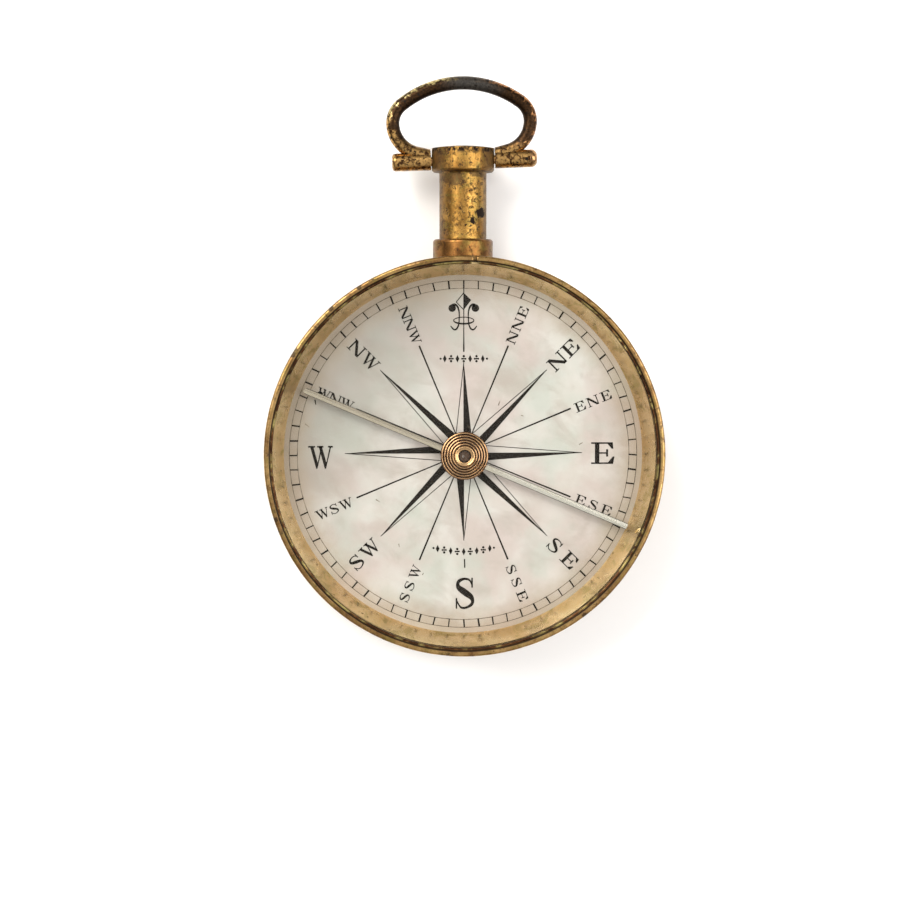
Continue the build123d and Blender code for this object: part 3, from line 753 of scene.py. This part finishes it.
def glyph_s():
    spine = [(0.82, 0.76), (0.70, 0.92), (0.46, 0.965), (0.20, 0.88), (0.18, 0.70), (0.48, 0.53),
             (0.79, 0.36), (0.82, 0.17), (0.58, 0.04), (0.30, 0.04), (0.10, 0.26)]
    weight = [0.06, 0.07, 0.08, 0.13, 0.18, 0.23, 0.19, 0.13, 0.08, 0.07, 0.06]
    return pen(spine, weight) + [upright(0.78, 0.07, 0.68, 1.0), upright(0.06, 0.07, 0, 0.34)]


GLYPHS = {"N": glyph_n, "E": glyph_e, "W": glyph_w, "S": glyph_s}
WIDE = {"N": 1.30, "E": 1.14, "W": 1.42, "S": 0.98}
TALL = {"E": 1.08, "W": 1.08, "S": 0.70}


def word(text, height, gap, start, bearing, widths=WIDE):
    """Letters from a start point along a reading direction, centred on that line."""
    shapes = []
    reach = 0.0
    for letter in text:
        for part in GLYPHS[letter]():
            local = [(x * height * widths[letter] + reach, (y - 0.5) * height) for x, y in part]
            shapes.append(turned_shape(local, bearing - 90, start))
        reach += widths[letter] * height + gap
    return shapes


def label(text, bearing, height, inner, outer):
    """Word along a radius that fills it from inner to outer, always with its tops upward."""
    used = sum(WIDE[letter] * height for letter in text)
    gap = (outer - inner - used) / (len(text) - 1)
    if bearing < 180:
        return word(text, height, gap, polar(bearing, inner), bearing)
    return word(text, height, gap, polar(bearing, outer), bearing - 180)


RING_INNER = 16.80
RING_OUTER = 17.60
TICKS = 72
CAP_EDGE = 1.9
ROSE_AT = Vector((0.0, 0.18))
WINDS = {45: "NE", 135: "SE", 225: "SW", 315: "NW"}
WIND_HEIGHTS = {45: 1.42, 135: 1.42, 225: 1.42, 315: 1.28}
HALF_WINDS = {22.5: "NNE", 67.5: "ENE", 112.5: "ESE", 157.5: "SSE",
              202.5: "SSW", 247.5: "WSW", 292.5: "WNW", 337.5: "NNW"}
LABEL_TURNS = {"ESE": -1.1, "WNW": 1.2}
POINT_TIPS = {0: 9.16, 45: 11.9, 90: 12.0, 135: 12.0, 180: 8.9, 225: 11.9, 270: 12.0, 315: 11.9}
POINT_HALF = 0.78
RAY_END = 11.75
HALF_WIND_HEIGHT = 0.98
HALF_WIND_SPAN = (12.2, 16.15)
WIND_SPAN = (12.45, 16.05)


def star_point(bearing, tip):
    """Long thin point: its clockwise half is solid and its other half is an outline."""
    base = ROSE_AT + polar(bearing, CAP_EDGE)
    across = polar(bearing + 90, 1)
    end = ROSE_AT + polar(bearing, tip)
    solid = [base, base + across * POINT_HALF, end]
    open_edge = bar(base - across * POINT_HALF, end, 0.075)
    spine = bar(base, end, 0.06)
    return solid, open_edge, spine


solids, outlines = [], []
for bearing, tip in POINT_TIPS.items():
    solid, open_edge, spine = star_point(bearing, tip)
    solids.append(solid)
    outlines += [open_edge, spine]
print_on_dial("dial_rose_points", solids, INK_SOLID, 1.2)
print_on_dial("dial_rose_outlines", outlines, INK_SOLID)
rays = []
for bearing in HALF_WINDS:
    rays.append(bar(ROSE_AT + polar(bearing, CAP_EDGE), ROSE_AT + polar(bearing, RAY_END), 0.11, 0.17))
print_on_dial("dial_rose_rays", rays, INK_SOLID, 1.1)

ring_lines = circle_line(RING_INNER, 0.07) + circle_line(RING_OUTER, 0.075)
print_on_dial("dial_ring_lines", ring_lines, INK_FINE)
ticks = []
for i in range(TICKS):
    bearing = 360 * i / TICKS
    lean = 0.25 * math.sin(5 * i)
    width = 0.145 + 0.03 * math.sin(11 * i)
    ticks.append(bar(polar(bearing, RING_INNER - 0.04), polar(bearing + lean, RING_OUTER), width))
    if i % 7 in (2, 5):
        fray = polar(bearing + 1.1, RING_INNER - 0.02)
        ticks.append(bar(polar(bearing, RING_INNER), fray, 0.09, 0.04))
print_on_dial("dial_ring_ticks", ticks, INK_SOLID, 1.1)

small_letters = []
for bearing, text in HALF_WINDS.items():
    raised = LABEL_TURNS.get(text, 0)
    small_letters += label(text, bearing + raised, HALF_WIND_HEIGHT, *HALF_WIND_SPAN)
print_on_dial("dial_half_wind_letters", small_letters, INK_SOLID)
wind_letters = []
for bearing, text in WINDS.items():
    wind_letters += label(text, bearing, WIND_HEIGHTS[bearing], *WIND_SPAN)
print_on_dial("dial_wind_letters", wind_letters, INK_SOLID)
print_on_dial("dial_letter_east", word("E", 2.2, 0, (12.95, 0.13), 90, TALL), INK_SOLID)
print_on_dial("dial_letter_west", word("W", 2.3, 0, (-15.7, -0.2), 90, TALL), INK_SOLID)
print_on_dial("dial_letter_south", word("S", 3.15, 0, (-0.95, -14.1), 90, TALL), INK_SOLID)


def fleur_shapes(y):
    """Fleur-de-lis that marks north, centred on its band at a height."""
    def at(points):
        return [(px, py + y) for px, py in points]
    shapes = [at([(0, 2.78), (0, 1.07), (0.74, 2.05)])]
    shapes += [bar(a, b, 0.09) for a, b in (
        at([(0, 2.78), (-0.76, 1.85)]), at([(-0.76, 1.85), (0, 1.07)]), at([(0, 3.3), (0, -2.6)]))]
    for side in (-1, 1):
        petal = [(side * px, py) for px, py in (
            (0.47, -0.1), (0.46, 0.75), (0.60, 1.32), (0.86, 1.58), (1.12, 1.5))]
        shapes += pen(at(petal), [0.10, 0.13, 0.18, 0.24, 0.38])
        shapes.append(disc((side * 1.17, 1.24 + y), 0.38))
        foot = [(side * px, py) for px, py in (
            (0.47, 0.35), (0.5, -0.35), (0.72, -0.84), (1.02, -0.9), (1.32, -0.55))]
        shapes += pen(at(foot), [0.10, 0.13, 0.17, 0.15, 0.10])
    angles = [math.radians(a) for a in range(0, 361, 15)]
    loop = [(1.02 * math.cos(a), 0.33 * math.sin(a) + y) for a in angles]
    weight = [0.09 + 0.09 * max(0.0, -math.sin(a)) for a in angles]
    shapes += pen(loop, weight, 2)
    shapes.append(bar((0, y - 1.0), (0, y - 3.15), 0.09, 0.15))
    return shapes


PETALS = ((0, 0.25, 0.125), (0, -0.25, 0.125), (0.17, 0, 0.10), (-0.17, 0, 0.10), (0, 0, 0.09))


def flower_row(y, half_width, rise, repeats):
    """Row of lozenges and four-petalled flowers between two dots, in place of wording."""
    shapes = []
    step = 2 * half_width / (repeats - 1)
    for i in range(repeats):
        x = -half_width + i * step
        mid = y + rise * (x / half_width) ** 2
        if i % 2 == 0:
            shapes.append([(x, mid + 0.38), (x - 0.19, mid), (x, mid - 0.38), (x + 0.19, mid)])
            continue
        for dx, dy, size in PETALS:
            shapes.append(disc((x + dx, mid + dy), size, 12))
    for side in (-1, 1):
        shapes.append(disc((side * (half_width + 0.42), y + rise * 1.2), 0.11, 12))
    return shapes


print_on_dial("dial_north_fleur", fleur_shapes(13.57), INK_SOLID)
print_on_dial("dial_upper_ornament", flower_row(9.72, 1.92, 0.0, 7), INK_SOLID)
print_on_dial("dial_lower_ornament", flower_row(-9.85, 2.65, 0.32, 9), INK_SOLID)
print_on_dial("dial_south_dash", [bar((0.08, -10.6), (0.1, -11.5), 0.13)], INK_SOLID)

# Age marks: x, y, bearing and length
SCRATCHES = [
    (3.5, 5.0, 20, 0.5), (11.7, 1.0, 60, 0.45), (-16.0, 3.2, 130, 0.55), (-8.9, -4.5, 120, 0.5),
    (-6.6, -9.0, 170, 0.35), (5.8, 4.0, 110, 0.3), (-4.2, -12.2, 30, 0.25), (-0.75, -14.8, 178, 0.8),
]
marks = []
for x, y, bearing, length in SCRATCHES:
    marks.append(bar((x, y), Vector((x, y)) + polar(bearing, length), 0.10, 0.04))
print_on_dial("dial_age_marks", marks, INK_FINE)
SMUDGE = [(-14.75, 6.35), (-14.45, 6.5), (-14.2, 6.3), (-14.3, 6.0), (-14.6, 5.95)]
print_on_dial("dial_smudge", [SMUDGE] + [bar((-15.0, 5.6), (-14.9, 5.1), 0.14, 0.08)], INK_SOLID)


# ---------------------------------------------------------------- stage, light and camera

def stage_floor():
    """Plain pale board that the compass lies on."""
    mesh = bmesh.new()
    bmesh.ops.create_grid(mesh, x_segments=8, y_segments=8, size=0.8)
    data = bpy.data.meshes.new("studio_floor")
    mesh.to_mesh(data)
    mesh.free()
    data.materials.append(backdrop())
    obj = bpy.data.objects.new("studio_floor", data)
    bpy.context.scene.collection.objects.link(obj)


def softbox(name, place, size, watts, colour=(1, 1, 1)):
    """Square area lamp aimed at the middle of the dial."""
    lamp = bpy.data.lights.new(name, "AREA")
    lamp.shape = "RECTANGLE"
    lamp.size, lamp.size_y = size
    lamp.energy = watts
    lamp.color = colour
    obj = bpy.data.objects.new(name, lamp)
    obj.location = place
    aim = Vector((0, 0, DIAL_TOP)) - Vector(place)
    obj.rotation_euler = aim.to_track_quat("-Z", "Y").to_euler()
    bpy.context.scene.collection.objects.link(obj)


def studio_world():
    """White room: brightest overhead, dim and warm near the horizon and to the left and right."""
    world = bpy.data.worlds.new("studio_room")
    world.use_nodes = True
    tree = world.node_tree
    tree.nodes.clear()
    place = tree.nodes.new("ShaderNodeTexCoord")
    split = tree.nodes.new("ShaderNodeSeparateXYZ")
    ramp = tree.nodes.new("ShaderNodeValToRGB")
    back = tree.nodes.new("ShaderNodeBackground")
    out = tree.nodes.new("ShaderNodeOutputWorld")
    horizon, overhead = ramp.color_ramp.elements
    horizon.position = 0.02
    horizon.color = (0.16, 0.13, 0.10, 1)
    overhead.position = 0.85
    overhead.color = (0.97, 0.96, 0.95, 1)
    ramp.color_ramp.elements.new(0.35).color = (0.44, 0.41, 0.37, 1)
    tree.links.new(place.outputs["Generated"], split.inputs[0])
    tree.links.new(split.outputs["Z"], ramp.inputs[0])
    sideways = tree.nodes.new("ShaderNodeMath")
    sideways.operation = "ABSOLUTE"
    tree.links.new(split.outputs["X"], sideways.inputs[0])
    fade = tree.nodes.new("ShaderNodeMapRange")
    fade.interpolation_type = "SMOOTHSTEP"
    fade.inputs["From Min"].default_value = 0.30
    fade.inputs["From Max"].default_value = 0.85
    fade.inputs["To Min"].default_value = 1.0
    fade.inputs["To Max"].default_value = 0.32
    tree.links.new(sideways.outputs[0], fade.inputs["Value"])
    dim = tree.nodes.new("ShaderNodeVectorMath")
    dim.operation = "SCALE"
    tree.links.new(ramp.outputs[0], dim.inputs[0])
    tree.links.new(fade.outputs[0], dim.inputs["Scale"])
    tree.links.new(dim.outputs[0], back.inputs["Color"])
    back.inputs["Strength"].default_value = 0.95
    tree.links.new(back.outputs[0], out.inputs["Surface"])
    bpy.context.scene.world = world


VIEW_DISTANCE = 0.20
PICTURE_WIDTH = 0.0908
TILT_X = math.radians(-2.8)
TILT_Y = math.radians(4.1)
AIM = Vector((-0.86 * MM, 0.60 * MM, RIM_TOP))


def overhead_camera():
    """Camera nearly over the dial, a little towards the pendant and the west."""
    data = bpy.data.cameras.new("main_camera")
    data.sensor_width = 36
    data.lens = data.sensor_width * VIEW_DISTANCE / PICTURE_WIDTH
    data.clip_start = 0.005
    obj = bpy.data.objects.new("main_camera", data)
    back = Vector((math.tan(TILT_X), math.tan(TILT_Y), 1)).normalized()
    side = Vector((0, 1, 0)).cross(back).normalized()
    up = back.cross(side)
    turn = Matrix((side, up, back)).transposed().to_4x4()
    obj.matrix_world = Matrix.Translation(AIM + back * VIEW_DISTANCE) @ turn
    bpy.context.scene.collection.objects.link(obj)
    bpy.context.scene.camera = obj


stage_floor()
studio_world()
softbox("key_softbox", (-0.32, 0.30, 0.42), (0.44, 0.36), 4.5, (1.0, 0.98, 0.95))
softbox("fill_softbox", (0.38, 0.02, 0.40), (0.38, 0.50), 2.4, (0.98, 0.98, 1.0))
overhead_camera()
bpy.context.scene.view_settings.view_transform = "Standard"

bpy.context.view_layer.update()
